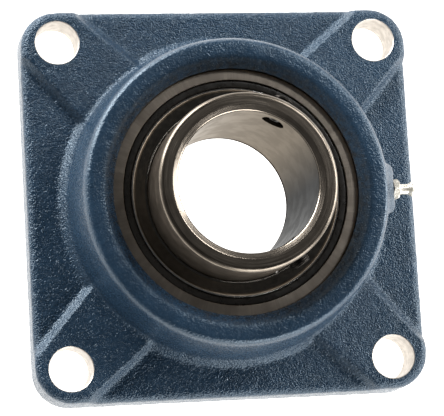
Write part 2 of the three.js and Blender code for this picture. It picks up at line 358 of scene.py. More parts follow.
def helix_ridge(
    name: str, section: Sequence[Point], pitch: float, turns: int, steps: int = 40
) -> bpy.types.Object:
    """Sweep a closed section round the Z axis into the ridge of a thread or a spring.

    Args:
        name: Name of the new object.
        section: Radius and height of each point of the section.
        pitch: Rise in one turn.
        turns: Number of turns.
        steps: Facets in a turn.

    Returns:
        The ridge as a closed solid.
    """
    ridge = outline(name, section, closed=True)
    apply_modifier(
        ridge, "SCREW", angle=FULL_TURN, screw_offset=pitch, iterations=turns, steps=steps,
        render_steps=steps, use_smooth_shade=False,
    )
    with edit_mode(ridge, whole=True):
        bpy.ops.mesh.remove_doubles(threshold=WELD)
        select_whole()
        bpy.ops.mesh.fill_holes(sides=0)
        select_whole()
        bpy.ops.mesh.normals_make_consistent(inside=False)
    return ridge


def lapped_ball(name: str, radius: float, cuts: int) -> bpy.types.Object:
    """Swell a finely divided cube into a true ball.

    Args:
        name: Name of the new object.
        radius: Radius of the ball.
        cuts: Cuts across each side of the cube.

    Returns:
        The ball, centred on the origin.
    """
    ball = block(name, (-1, -1, -1), (1, 1, 1))
    with edit_mode(ball, whole=True):
        bpy.ops.mesh.subdivide(number_cuts=cuts)
        select_whole()
        bpy.ops.transform.tosphere(value=1.0)
    for vertex in ball.data.vertices:
        vertex.co = vertex.co.normalized() * radius
    return ball


# ---------------------------------------------------------------- finishes


class Grain(Enum):
    """Which way the marks of machining run."""

    ROUND = "round"
    RADIAL = "radial"


class Shader:
    """Short hand for building one material's nodes."""

    def __init__(self, name: str) -> None:
        """Start a material with a Principled shader.

        Args:
            name: Name of the material.
        """
        self.material = bpy.data.materials.new(name)
        self.material.use_nodes = True
        self.tree = self.material.node_tree
        self.surface = self.tree.nodes["Principled BSDF"]
        self.position = self.add("ShaderNodeTexCoord").outputs["Object"]

    def add(self, kind: str, **values: object) -> bpy.types.Node:
        """Add a node and set its attributes."""
        node = self.tree.nodes.new(kind)
        for name, value in values.items():
            setattr(node, name, value)
        return node

    def link(self, source: bpy.types.NodeSocket, target: bpy.types.NodeSocket) -> None:
        """Join an output to an input."""
        self.tree.links.new(source, target)

    def math(
        self, operation: str, first: object, second: object = 0.0
    ) -> bpy.types.NodeSocket:
        """Do arithmetic on sockets or numbers.

        Args:
            operation: The Math node's operation.
            first: A socket or a number.
            second: A socket or a number.

        Returns:
            The result's socket.
        """
        node = self.add("ShaderNodeMath", operation=operation)
        for socket, value in zip(node.inputs, (first, second)):
            if isinstance(value, bpy.types.NodeSocket):
                self.link(value, socket)
            else:
                socket.default_value = value
        return node.outputs[0]

    def height(self) -> bpy.types.NodeSocket:
        """Give the height over the mounting face, in metres."""
        split = self.add("ShaderNodeSeparateXYZ")
        self.link(self.position, split.inputs[0])
        return split.outputs["Z"]

    def radius(self) -> bpy.types.NodeSocket:
        """Give the distance from the bore axis, in metres."""
        flat = self.add("ShaderNodeVectorMath", operation="MULTIPLY")
        self.link(self.position, flat.inputs[0])
        flat.inputs[1].default_value = (1, 1, 0)
        length = self.add("ShaderNodeVectorMath", operation="LENGTH")
        self.link(flat.outputs[0], length.inputs[0])
        return length.outputs["Value"]

    def noise(
        self, size: float, detail: float = 2.0, vector: bpy.types.NodeSocket | None = None,
        roughness: float = 0.5,
    ) -> bpy.types.NodeSocket:
        """Add a noise pattern whose features are about a size in millimetres.

        Args:
            size: Size of the largest features.
            detail: Octaves of finer detail.
            vector: Coordinates, by default the position on the piece.
            roughness: Strength of the finer octaves.

        Returns:
            The pattern's value, 0 to 1.
        """
        node = self.add("ShaderNodeTexNoise")
        node.inputs["Scale"].default_value = 1 / (size * MM)
        node.inputs["Detail"].default_value = detail
        node.inputs["Roughness"].default_value = roughness
        self.link(vector or self.position, node.inputs["Vector"])
        return node.outputs["Fac"]

    def spread(
        self, value: bpy.types.NodeSocket, low: float, high: float, start: float = 0.3,
        end: float = 0.7,
    ) -> bpy.types.NodeSocket:
        """Map a pattern's middle range onto new limits."""
        node = self.add("ShaderNodeMapRange")
        self.link(value, node.inputs["Value"])
        settings = {"From Min": start, "From Max": end, "To Min": low, "To Max": high}
        for name, number in settings.items():
            node.inputs[name].default_value = number
        return node.outputs["Result"]

    def blend(
        self, factor: bpy.types.NodeSocket, first: object, second: object
    ) -> bpy.types.NodeSocket:
        """Mix two colours or colour sockets by a factor."""
        node = self.add("ShaderNodeMix", data_type="RGBA")
        self.link(factor, node.inputs["Factor"])
        for socket, value in ((node.inputs["A"], first), (node.inputs["B"], second)):
            if isinstance(value, bpy.types.NodeSocket):
                self.link(value, socket)
            else:
                socket.default_value = (*value, 1.0)
        return node.outputs["Result"]

    def grain(self, way: Grain, fine: float) -> bpy.types.NodeSocket:
        """Make the fine lines of turning or grinding about the bore axis.

        Args:
            way: Whether the lines run round the axis or out from it.
            fine: Spacing of the lines in millimetres.

        Returns:
            The pattern's value, 0 to 1.
        """
        split = self.add("ShaderNodeSeparateXYZ")
        self.link(self.position, split.inputs[0])
        x, y, z = split.outputs
        radius = self.radius()
        around, across = (2.0, 1 / (fine * MM)) if way is Grain.ROUND else (40 / fine, 30.0)
        combined = self.add("ShaderNodeCombineXYZ")
        for axis, place_on_axis in enumerate((x, y)):
            turn = self.math("DIVIDE", place_on_axis, radius)
            self.link(self.math("MULTIPLY", turn, around), combined.inputs[axis])
        self.link(self.math("MULTIPLY", z, across), combined.inputs[2])
        node = self.add("ShaderNodeTexNoise", noise_dimensions="4D")
        node.inputs["Scale"].default_value = 1.0
        node.inputs["Detail"].default_value = 3.0
        self.link(combined.outputs[0], node.inputs["Vector"])
        self.link(self.math("MULTIPLY", radius, across), node.inputs["W"])
        return node.outputs["Fac"]

    def bump(
        self, height: bpy.types.NodeSocket, depth: float, strength: float = 1.0,
        under: bpy.types.NodeSocket | None = None,
    ) -> bpy.types.NodeSocket:
        """Turn a pattern into relief.

        Args:
            height: The pattern.
            depth: Height of the relief in millimetres.
            strength: How much of it is used.
            under: Relief that lies beneath it.

        Returns:
            The bent normal.
        """
        node = self.add("ShaderNodeBump")
        node.inputs["Strength"].default_value = strength
        node.inputs["Distance"].default_value = depth * MM
        self.link(height, node.inputs["Height"])
        if under is not None:
            self.link(under, node.inputs["Normal"])
        return node.outputs["Normal"]

    def dress(
        self, colour: bpy.types.NodeSocket, roughness: bpy.types.NodeSocket,
        normal: bpy.types.NodeSocket, metallic: float = 0.0,
    ) -> bpy.types.Material:
        """Join the patterns to the surface and hand over the material."""
        self.link(colour, self.surface.inputs["Base Color"])
        self.link(roughness, self.surface.inputs["Roughness"])
        self.link(normal, self.surface.inputs["Normal"])
        self.surface.inputs["Metallic"].default_value = metallic
        return self.material


@dataclass(frozen=True)
class CastPaint:
    """Dark blue enamel over a sand-cast skin, darkened beside the bearing seat by grime and painted
    shade.
    """

    deep: Colour = (0.0115, 0.0265, 0.048)
    light: Colour = (0.0160, 0.036, 0.064)
    worn: Colour = (0.13, 0.17, 0.21)
    # Colour of the grime and painted shade on the lip beside the seat.
    grime_and_shade: Colour = (0.013, 0.011, 0.009)
    gloss_tint: Colour = (0.72, 0.88, 1.0)

    def material(self) -> bpy.types.Material:
        """Build the enamel: blotches, specks of wear, grime with painted shade by the seat, and a
        pebbled skin.
        """
        s = Shader("cast_paint")
        colour = s.blend(s.spread(s.noise(9, 4), 0, 1), self.deep, self.light)
        specks = s.spread(s.noise(1.1, 3, roughness=0.7), 0, 0.55, 0.66, 0.74)
        colour = s.blend(specks, colour, self.worn)
        # Grime and painted shade: the paint darkens in patches on the lip beside the bearing seat.
        seat_grime_and_shade_band = s.spread(s.radius(), 0.8, 0.0, 0.0535, 0.0600)
        patches = s.spread(s.noise(2.2, 4, roughness=0.65), 0, 1, 0.42, 0.62)
        dirt_and_shade = s.math("MULTIPLY", seat_grime_and_shade_band, patches)
        colour = s.blend(dirt_and_shade, colour, self.grime_and_shade)
        rough = s.spread(s.height(), 1.0, 0.45, 0.019, 0.024)
        coarse = s.math("MULTIPLY", s.noise(1.2, 1), 0.7)
        grain = s.math("MULTIPLY", s.math("ADD", coarse, s.noise(0.62, 1.0)), rough)
        skin = s.bump(s.noise(4.5, 2), 0.5, 0.5)
        skin = s.bump(grain, 0.44, 1.0, skin)
        roughness = s.spread(s.noise(1.6, 3), 0.18, 0.34)
        s.surface.inputs["IOR"].default_value = 1.55
        s.surface.inputs["Specular Tint"].default_value = (*self.gloss_tint, 1.0)
        return s.dress(colour, roughness, skin)


@dataclass(frozen=True)
class BareIron:
    """Machined cast iron in the seat, the bolt holes and on the mounting face."""

    name: str
    dark: Colour
    light: Colour

    def material(self) -> bpy.types.Material:
        """Build the iron: tool marks, graphite specks and a thin film of oil."""
        s = Shader(self.name)
        lines = s.grain(Grain.ROUND, 0.5)
        colour = s.blend(s.spread(s.noise(3, 4), 0, 1), self.dark, self.light)
        skin = s.bump(lines, 0.05, 0.6)
        return s.dress(colour, s.spread(lines, 0.34, 0.52), skin, metallic=0.75)


@dataclass(frozen=True)
class GroundSteel:
    """Hardened bearing steel with the marks of grinding."""

    name: str
    way: Grain
    fine: float
    dark: Colour
    light: Colour
    rough: Point = (0.16, 0.34)
    relief: float = 0.01

    def material(self) -> bpy.types.Material:
        """Build the steel: grinding lines under a patchy brown film of oil."""
        s = Shader(self.name)
        lines = s.grain(self.way, self.fine)
        stains = s.spread(s.noise(6, 4), 0, 1)
        colour = s.blend(s.math("MULTIPLY", s.spread(lines, 0.2, 1), stains), self.dark, self.light)
        skin = s.bump(lines, self.relief, 0.5)
        return s.dress(colour, s.spread(lines, *self.rough), skin, metallic=1.0)


@dataclass(frozen=True)
class BoreSteel:
    """The honed bore: nearly smooth, with a painted reflection that tints its gloss warm on one
    side and blue-grey on the other, and painted shade at the rear edge.
    """

    name: str = "bore_steel"
    dark: Colour = (0.025, 0.021, 0.017)
    light: Colour = (0.042, 0.036, 0.030)
    # Painted reflection: the gloss tints of the bore's two sides.
    reflected_warm: Colour = (0.96, 0.89, 0.80)
    reflected_blue_grey: Colour = (0.42, 0.44, 0.46)
    # Painted shade: the gloss tint near the rear edge of the bore.
    edge: Colour = (0.10, 0.09, 0.08)

    def material(self) -> bpy.types.Material:
        """Build the bore: mottled stains, a painted reflection that dulls one side, painted shade
        at the rear edge and faint honing marks.
        """
        s = Shader(self.name)
        stains = s.spread(s.noise(7, 2), 0, 1)
        split = s.add("ShaderNodeSeparateXYZ")
        s.link(s.position, split.inputs[0])
        # Painted reflection: along a fixed direction across the bore, the gloss tint runs from warm
        # to blue-grey, with a little of the stains mixed in.
        side = s.math("SUBTRACT", split.outputs["X"], s.math("MULTIPLY", split.outputs["Y"], 0.55))
        film = s.spread(side, 0, 0.9, 0.012, 0.030)
        film = s.math("ADD", film, s.math("MULTIPLY", stains, 0.05))
        # Painted shade: the gloss darkens to the rear-edge tint near the back of the bore.
        rear = s.spread(s.height(), 1, 0, 0.0058, 0.0072)
        tint = s.blend(rear, s.blend(film, self.reflected_warm, self.reflected_blue_grey), self.edge)
        s.link(tint, s.surface.inputs["Specular Tint"])
        colour = s.blend(stains, self.dark, self.light)
        lines = s.grain(Grain.ROUND, 0.4)
        skin = s.bump(lines, 0.001, 0.4, s.bump(s.noise(9, 2), 0.03, 0.3))
        return s.dress(colour, s.spread(stains, 0.33, 0.39), skin, metallic=1.0)


@dataclass(frozen=True)
class SealRubber:
    """Black moulded rubber."""

    name: str
    black: Colour = (0.0095, 0.0085, 0.0072)
    grey: Colour = (0.0130, 0.0115, 0.0098)
    rough: Point = (0.24, 0.36)
    relief: float = 0.012

    def material(self) -> bpy.types.Material:
        """Build the rubber: a faint bloom and the mould's turned lines."""
        s = Shader(self.name)
        lines = s.grain(Grain.ROUND, 0.6)
        colour = s.blend(s.spread(s.noise(5, 4), 0, 1), self.black, self.grey)
        skin = s.bump(s.noise(0.5, 2), self.relief, 0.4, s.bump(lines, self.relief, 0.5))
        return s.dress(colour, s.spread(s.noise(2.5, 3), *self.rough), skin)


@dataclass(frozen=True)
class PlainMetal:
    """A metal without a lay: pressed sheet, drawn wire, plating or polished balls."""

    name: str
    dark: Colour
    light: Colour
    rough: Point
    blotch: float
    relief: float = 0.01
    metallic: float = 1.0

    def material(self) -> bpy.types.Material:
        """Build the metal: blotches of colour and gloss over a fine skin."""
        s = Shader(self.name)
        pattern = s.noise(self.blotch, 4)
        colour = s.blend(s.spread(pattern, 0, 1), self.dark, self.light)
        skin = s.bump(s.noise(self.blotch / 4, 3), self.relief, 0.6)
        return s.dress(colour, s.spread(pattern, *self.rough), skin, metallic=self.metallic)


FACE_STEEL = GroundSteel("ring_face_steel", Grain.RADIAL, 0.45, (0.33, 0.288, 0.243),
                         (0.50, 0.44, 0.375), (0.28, 0.37), 0.010)
COLLAR_STEEL = GroundSteel("collar_steel", Grain.ROUND, 0.5, (0.29, 0.25, 0.205),
                           (0.46, 0.40, 0.335), (0.18, 0.28), 0.006)
# A darker copy of the collar steel for its rounded outer edge: painted shade that dims the edge's
# highlight.
SHADED_EDGE_STEEL = GroundSteel("collar_edge_shaded_steel", Grain.ROUND, 0.5, (0.125, 0.106, 0.086),
                         (0.225, 0.195, 0.16), (0.23, 0.33), 0.006)
WALL_STEEL = GroundSteel("collar_wall_steel", Grain.ROUND, 0.6, (0.12, 0.10, 0.08),
                         (0.28, 0.235, 0.19), (0.38, 0.52))
# A near-black copy of the machined iron for the seat: painted shade in the seat and along the gap
# round the bearing.
SHADED_SEAT_IRON = BareIron("seat_iron_shaded", (0.055, 0.048, 0.042), (0.12, 0.105, 0.09))
HOLE_IRON = BareIron("hole_iron", (0.42, 0.38, 0.33), (0.66, 0.61, 0.55))
BORE_STEEL = BoreSteel()
BALL_STEEL = PlainMetal("ball_steel", (0.62, 0.63, 0.65), (0.80, 0.81, 0.83), (0.05, 0.11), 6,
                        0.002)
CAGE_SHEET = PlainMetal("cage_sheet", (0.34, 0.32, 0.29), (0.56, 0.54, 0.50), (0.28, 0.46), 3)
FLINGER_BLACK = PlainMetal("flinger_coating", (0.14, 0.128, 0.112), (0.20, 0.184, 0.16),
                           (0.12, 0.2), 2.5, 0.003)
# A bright copy of the flinger's steel on its rolled bead: a painted highlight.
BEAD_HIGHLIGHT_STEEL = PlainMetal("flinger_bead_highlight", (0.70, 0.68, 0.65), (0.88, 0.86, 0.82), (0.10, 0.16), 2.5,
                        0.003)
BLACK_SCREW = PlainMetal("black_screw", (0.014, 0.013, 0.012), (0.045, 0.040, 0.035),
                         (0.32, 0.5), 1.5)
NIPPLE_ZINC = PlainMetal("nipple_zinc", (0.56, 0.52, 0.43), (0.86, 0.83, 0.75), (0.16, 0.34), 1.2,
                         metallic=0.4)
SPRING_WIRE = PlainMetal("spring_wire", (0.40, 0.40, 0.41), (0.60, 0.60, 0.61), (0.2, 0.34), 1)


class Finishes:
    """The materials, each built once when it is first asked for."""

    made: dict[object, bpy.types.Material] = {}

    @classmethod
    def get(cls, finish: object) -> bpy.types.Material:
        """Give the material of a finish."""
        if finish not in cls.made:
            cls.made[finish] = finish.material()
        return cls.made[finish]


def coat(piece: bpy.types.Object, finish: object) -> None:
    """Give the whole of a piece one finish."""
    piece.data.materials.clear()
    piece.data.materials.append(Finishes.get(finish))


def coat_where(
    piece: bpy.types.Object, finish: object, test: Callable[[float, float], bool]
) -> None:
    """Give some faces of a coated piece another finish.

    Args:
        piece: The piece, in millimetres.
        finish: The finish of those faces.
        test: Takes a face's distance from the bore axis and its height.
    """
    piece.data.materials.append(Finishes.get(finish))
    for face in piece.data.polygons:
        if test(face.center.xy.length, face.center.z):
            face.material_index = len(piece.data.materials) - 1


def deliver(
    piece: bpy.types.Object, body: str, nodes: Sequence[str], smooth_below: float = 32,
    flat_faces: bool = False,
) -> bpy.types.Object:
    """Bring a finished piece to metres and hang it on its body.

    Args:
        piece: The piece, in millimetres.
        body: The body that it rides on.
        nodes: The plain solids that it stands for.
        smooth_below: Edges flatter than this many degrees are shaded smooth.
        flat_faces: Whether broad faces keep their own normals beside narrow bevels.

    Returns:
        The piece.
    """
    place(piece, Matrix.Scale(MM, 4))
    activate(piece)
    bpy.ops.object.shade_smooth_by_angle(angle=math.radians(smooth_below))
    if flat_faces:
        apply_modifier(piece, "WEIGHTED_NORMAL", keep_sharp=True, weight=90)
    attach(piece, body)
    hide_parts(*nodes)
    LOG.info("%s: %d faces on %s", piece.name, len(piece.data.polygons), body)
    return piece


# ---------------------------------------------------------------- housing


@dataclass(frozen=True)
class Housing:
    """The painted casting: square flange, diagonal webs with bolt pads, and the round boss."""

    side: float = 174.2
    field_height: float = 14.2
    pad_height: float = 18.0
    draft: tuple[float, float] = (0.005, 0.075)
    skew: float = 0.25
    corner_radius: float = 16.0
    edge_slope: Point = (2.6, 1.4)
    edge_round: float = 0.9
    bolt_spacing: float = 143.0
    bolt_radius: float = 9.5
    web_top: float = 22.6
    web_taper: float = 0.08
    web_slope: float = 2.6
    boss_foot: float = 69.9
    boss_rim: float = 66.9
    boss_height: float = 48.0
    rim_round: Point = (3.4, 5.5)
    face_edge: float = 59.3
    lip_radius: float = 53.4
    lip_height: float = 43.0
    seat_radius: float = 55.35
    seat_centre: float = 29.0
    recess_radius: float = 57.5
    recess_depth: float = 12.8
    slot_half_width: float = 12.5
    groove_half_width: float = 2.0
    groove_depth: float = 1.3
    land_start: float = 58.0
    land_x: float = 70.0
    land_half_width: float = 11.3
    land_top: float = 41.5
    land_lean: float = 4.0
    land_corner: float = 3.4
    nipple_height: float = 37.0
    way_radius: float = 1.6
    tapped_radius: float = 3.4
    tapped_start: float = 63.0
    countersink: float = 2.3
    spare: float = 6.0
    voxel: float = 0.9

    def plate(self, top: float) -> bpy.types.Object:
        """Make the drafted square plate with round corners and a soft front edge.

        Args:
            top: Height of the plate's front face.

        Returns:
            The plate, with spare depth behind the mounting face.
        """
        half = self.side / 2
        inset, drop = self.edge_slope
        plate = block("plate", (-half, -half, -self.spare), (half, half, top - drop))
        select_edges(plate, lambda a, b: abs(a.z - b.z) > 1)
        with edit_mode(plate, "EDGE"):
            bpy.ops.mesh.bevel(offset=self.corner_radius, segments=10, affect="EDGES")
        select_vertices(plate, lambda v: v.z > top - drop - WELD)
        shrink = [1 - top * draft / half for draft in self.draft]
        with edit_mode(plate):
            bpy.ops.transform.resize(value=(*shrink, 1), center_override=(0, 0, 0))
        select_vertices(plate, lambda v: v.z > top - drop - WELD)
        with edit_mode(plate, "FACE"):
            bpy.ops.mesh.inset(thickness=inset)
            bpy.ops.transform.translate(value=(0, 0, drop))
        select_edges(plate, lambda a, b: max(abs(v.z - top + drop) for v in (a, b)) < WELD)
        with edit_mode(plate, "EDGE"):
            bpy.ops.mesh.bevel(offset=self.edge_round, segments=2, affect="EDGES")
        place(plate, about_z(self.skew))
        return plate

    def web(self, degrees: float) -> bpy.types.Object:
        """Make a bar along one diagonal, with sloping sides and narrower ends."""
        reach = self.side * 0.72
        width = self.web_top + self.web_slope
        bar = block("web", (-reach, -width, 3), (reach, width, self.pad_height))
        with edit_mode(bar, whole=True):
            bpy.ops.mesh.bisect(plane_co=(0, 0, self.field_height), plane_no=(0, 0, 1))
        with edit_mode(bar, whole=True):
            bpy.ops.mesh.bisect(plane_co=(0, 0, 0), plane_no=(1, 0, 0))
        for vertex in bar.data.vertices:
            level = 0.0 if vertex.co.z > self.field_height + 1 else self.web_slope
            half = self.web_top + level - self.web_taper * abs(vertex.co.x)
            vertex.co.y = math.copysign(half, vertex.co.y)
        place(bar, about_z(degrees))
        return bar

    def boss(self) -> bpy.types.Object:
        """Turn the boss with its rounded rim, flat face and inward-facing lip."""
        wide, high = self.rim_round
        rim = [(self.boss_rim - wide + wide * x, self.boss_height - high + high * z)
               for x, z in arc((0, 0), 1, 4, 90, 9)]
        return turned("boss", [
            (0, 1 - self.spare),
            (self.boss_foot + 0.6, 1 - self.spare),
            (self.boss_foot + 0.6, self.field_height - 0.5),
            (self.boss_foot, self.pad_height),
            *rim,
            (self.face_edge, self.boss_height),
            (self.face_edge - 1.4, self.boss_height - 0.25),
            (self.face_edge - 2.5, self.boss_height - 0.95),
            (self.lip_radius, self.lip_height),
            (self.lip_radius - 3, self.lip_height - 0.5),
            (0, self.lip_height - 0.5),
        ], closed=False)

    def foot_fillet(self) -> bpy.types.Object:
        """Turn the sloping fillet where the boss meets the flange."""
        return turned("foot_fillet", [
            (60, self.field_height - 3),
            (self.boss_foot + 3.4, self.field_height - 3),
            (self.boss_foot + 3.4, self.field_height),
            (self.boss_foot + 0.2, self.field_height + 3.4),
            (60, self.field_height + 3.4),
        ])

    def land(self) -> bpy.types.Object:
        """Make the flat land on the boss that the grease nipple stands on."""
        width = self.land_half_width
        start, lean = self.land_start, self.land_lean
        land = block("land", (start, -width, 5), (self.land_x, width, self.land_top + lean))
        with edit_mode(land, whole=True):
            bpy.ops.mesh.bisect(plane_co=(0, 0, self.land_top), plane_no=(0, 0, 1))
        select_vertices(land, lambda v: v.x > start + 2 and v.z > self.land_top + 1)
        with edit_mode(land):
            bpy.ops.transform.translate(value=(-lean, 0, 0))
        select_edges(land, lambda a, b: min(a.x, b.x) > start + 2 and abs(a.y - b.y) < 1)
        with edit_mode(land, "EDGE"):
            bpy.ops.mesh.bevel(offset=self.land_corner, segments=3, affect="EDGES")
        return land

    def casting(self) -> bpy.types.Object:
        """Cast the blank: all rough shapes in one skin with soft fillets and a sandy face."""
        pads = self.plate(self.pad_height)
        webs = self.web(45)
        combine(webs, self.web(-45), "UNION")
        combine(pads, webs, "INTERSECT")
        blank = self.plate(self.field_height)
        join(blank, pads, self.boss(), self.foot_fillet(), self.land())
        apply_modifier(blank, "REMESH", mode="VOXEL", voxel_size=self.voxel, adaptivity=0.0)
        apply_modifier(blank, "SMOOTH", factor=0.5, iterations=3)
        self.roughen(blank, 7.0, 0.25)
        self.roughen(blank, 2.2, 0.30)
        return blank

    def roughen(self, blank: bpy.types.Object, size: float, height: float) -> None:
        """Raise a sandy relief on the casting's skin.

        Args:
            blank: The casting.
            size: Size of the lumps.
            height: Height of the lumps.
        """
        sand = bpy.data.textures.new("sand", "CLOUDS")
        sand.noise_scale = size
        sand.noise_depth = 2
        group = blank.vertex_groups.new(name="sand")
        low = [v.index for v in blank.data.vertices if v.co.z < self.pad_height + 1]
        high = [v.index for v in blank.data.vertices if v.co.z >= self.pad_height + 1]
        group.add(low, 1.0, "REPLACE")
        group.add(high, 0.4, "REPLACE")
        apply_modifier(
            blank, "DISPLACE", texture=sand, strength=height, mid_level=0.5,
            texture_coords="LOCAL", vertex_group=group.name,
        )
        blank.vertex_groups.clear()

    def bore_tool(self) -> bpy.types.Object:
        """Turn the cutter of the recess, the round seat, its grease groove and the lip."""
        half = self.lip_height - self.seat_centre
        edge = math.degrees(math.asin(half / self.seat_radius))
        seat = arc((0, self.seat_centre), self.seat_radius, -edge, edge, 16)
        groove = [
            (r + self.groove_depth * (abs(z - self.nipple_height) < self.groove_half_width), z)
            for r, z in seat
        ]
        return turned("bore_tool", [
            (0, -10),
            (self.recess_radius + 1, -10),
            (self.recess_radius + 1, 0),
            (self.recess_radius, 1),
            (self.recess_radius, self.recess_depth),
            *groove,
            (seat[-1][0], self.boss_height + 10),
            (0, self.boss_height + 10),
        ], closed=False)

    def slot_tool(self) -> bpy.types.Object:
        """Make the cutter of the pair of notches that the bearing goes in through."""
        width = self.slot_half_width
        slab = block("slot_tool", (-90, -width, -8), (90, width, self.seat_centre))
        combine(slab, prism("round", 180, self.seat_radius, -10, self.seat_centre), "INTERSECT")
        return slab

    def machining(self) -> bpy.types.Object:
        """Gather the cutters of all machined faces into one tool of bare iron."""
        end = self.land_x + 10
        tool = self.bore_tool()
        combine(tool, self.slot_tool(), "UNION")
        # Painted shade: the seat's cutter carries the near-black copy of the machined iron.
        coat(tool, SHADED_SEAT_IRON)
        passage = prism("passage", 24, self.way_radius, 50, end)
        tapped = prism("tapped", 48, self.tapped_radius, self.tapped_start, end)
        combine(passage, tapped, "UNION")
        place(passage, along_x(self.nipple_height))
        coat(passage, SHADED_SEAT_IRON)
        combine(tool, passage, "UNION")
        back = block("back", (-120, -120, -20), (120, 120, 0))
        coat(back, HOLE_IRON)
        combine(tool, back, "UNION")
        half, radius = self.bolt_spacing / 2, self.bolt_radius
        wide = radius + self.countersink
        hole = turned("hole", [
            (0, -15), (radius, -15), (radius, self.pad_height - 0.3),
            (wide, self.pad_height + 2), (wide, 30), (0, 30),
        ], closed=False, steps=72)
        coat(hole, HOLE_IRON)
        for x, y in ((half, half), (-half, half), (-half, -half)):
            combine(tool, copy_of(hole, "hole", Matrix.Translation((x, y, 0))), "UNION")
        place(hole, Matrix.Translation((half, -half, 0)))
        combine(tool, hole, "UNION")
        return tool

    def build(self) -> None:
        """Cast, paint and machine the housing."""
        casting = self.casting()
        coat(casting, CastPaint())
        combine(casting, self.machining(), "DIFFERENCE")
        for face in casting.data.polygons:
            if face.center.z > self.lip_height - 0.6:  # the thin wall over the seat is painted
                face.material_index = 0
        casting.name = "housing_casting"
        deliver(casting, "housing", ["housing"], 30)


# ---------------------------------------------------------------- bearing


@dataclass(frozen=True)
class BallBearing:
    """The insert: two rings, caged balls, and a seal and flinger on each side."""

    centre: float = 29.0
    sphere_radius: float = 55.0
    half_width: float = 12.0
    pitch_radius: float = 42.5
    ball_radius: float = 7.9375
    ball_count: int = 10
    groove_radius: float = 8.2
    play: float = 0.1
    bore_radius: float = 30.0
    collar_radius: float = 38.25
    rear: float = 3.6
    front: float = 68.7

    def raceway(self, bottom: float, land: float, outwards: int) -> list[Point]:
        """Profile of a raceway groove, from low to high.

        Args:
            bottom: Radius at the bottom of the groove.
            land: Radius of the ring beside it.
            outwards: 1 in the outer ring, -1 in the inner ring.

        Returns:
            The groove's points.
        """
        middle = bottom - outwards * self.groove_radius
        rise = math.degrees(math.acos(abs(land - middle) / self.groove_radius))
        centre = (middle, self.centre)
        if outwards > 0:
            return arc(centre, self.groove_radius, -rise, rise, 14)
        return arc(centre, self.groove_radius, 180 + rise, 180 - rise, 14)

    def outer_ring(self) -> None:
        """Turn the outer ring, round outside, with its raceway, seal grooves and grease hole."""
        low, high = self.centre - self.half_width, self.centre + self.half_width
        chamfer = 0.7
        edge = math.degrees(math.asin((self.half_width - chamfer / 2) / self.sphere_radius))
        face = self.sphere_radius * math.cos(math.radians(edge)) - chamfer
        bottom = self.pitch_radius + self.ball_radius + self.play
        ring = turned("outer_ring_ground", [
            *arc((0, self.centre), self.sphere_radius, -edge, edge, 16),
            (face, high), (49.0, high), (49.0, high - 1.35), (50.0, high - 1.35),
            (50.0, high - 2.7), (47.2, high - 2.7),
            *reversed(self.raceway(bottom, 47.2, 1)),
            (47.2, low + 2.7), (50.0, low + 2.7), (50.0, low + 1.35), (49.0, low + 1.35),
            (49.0, low), (face, low),
        ], steps=240)
        bevel_sharp(ring, 0.18)
        hole = prism("grease_hole", 20, 1.0, 44, 60)
        place(hole, along_x(37.0))
        combine(ring, hole, "DIFFERENCE")
        coat(ring, FACE_STEEL)
        deliver(ring, "outer_race", ["outer_ring"], flat_faces=True)

    def inner_ring(self, screws: "SetScrews") -> None:
        """Turn the wide inner ring, with its raceway, edges and two screw holes.

        Args:
            screws: The set screws that its holes are for.
        """
        bottom = self.pitch_radius - self.ball_radius - self.play
        ring = turned("inner_ring_ground", [
            (self.bore_radius, self.rear + 1.1), (self.bore_radius + 1.1, self.rear),
            (self.collar_radius - 1.2, self.rear), (self.collar_radius, self.rear + 1.2),
            *self.raceway(bottom, self.collar_radius, -1),
            *arc((self.collar_radius - 2.4, self.front - 2.4), 2.4, 0, 84, 7),
            (self.bore_radius + 2.6, self.front), (self.bore_radius + 0.4, self.front - 1.2),
            (self.bore_radius, self.front - 1.7),
        ], steps=240)
        bevel_sharp(ring, 0.18, 2, 20)
        for degrees in screws.angles:
            combine(ring, screws.hole_tool(degrees), "DIFFERENCE")
        coat(ring, COLLAR_STEEL)
        wall = self.collar_radius - 0.1
        rounding, below = wall - 2.2, self.front - 2.5
        coat_where(ring, BORE_STEEL, lambda radius, z: radius < self.bore_radius + 0.05)
        coat_where(ring, WALL_STEEL, lambda radius, z: radius > wall and z > self.centre)
        # Painted shade: the rounded outer edge takes the darker copy of the collar steel.
        coat_where(ring, SHADED_EDGE_STEEL, lambda radius, z: rounding < radius <= wall and z > below)
        deliver(ring, "inner_race", ["inner_ring"], flat_faces=True)

    def balls(self) -> None:
        """Shape one ball and set a copy of it in each place."""
        master = lapped_ball("ball_master", self.ball_radius, 15)
        coat(master, BALL_STEEL)
        for i in range(self.ball_count):
            spot = about_z(360 * i / self.ball_count) @ Matrix.Translation(
                (self.pitch_radius, 0, self.centre))
            node = f"ball_{i + 1:02d}"
            deliver(copy_of(master, f"{node}_lapped", spot), node, [node], 60)
        bpy.data.objects.remove(master, do_unlink=True)

    def seals(self) -> None:
        """Mould the front seal and flinger, and mirror both for the rear."""
        c = self.centre
        seal = turned("seal_front_moulded", [
            (38.6, c + 9.5), (39.4, c + 9.45), (48.2, c + 9.45), (48.6, c + 9.6),
            (49.6, c + 9.6), (49.6, c + 10.35), (48.75, c + 10.4), (48.5, c + 10.95),
            (47.9, c + 11.05), (46.4, c + 11.05), (45.95, c + 10.85), (45.9, c + 10.3),
            (39.6, c + 10.3), (38.6, c + 9.9),
        ], steps=200)
        bevel_sharp(seal, 0.12)
        coat(seal, SealRubber("seal_rubber"))
        flinger = turned("flinger_front_pressed", [
            (38.55, c + 10.6), *arc((44.9, c + 11.1), 0.58, -80, 140, 9),
            (44.1, c + 11.2), (43.6, c + 11.1),
            (39.7, c + 11.1), (39.1, c + 11.3), (38.9, c + 11.65), (38.55, c + 11.65),
        ], steps=200)
        bevel_sharp(flinger, 0.08)
        coat(flinger, FLINGER_BLACK)
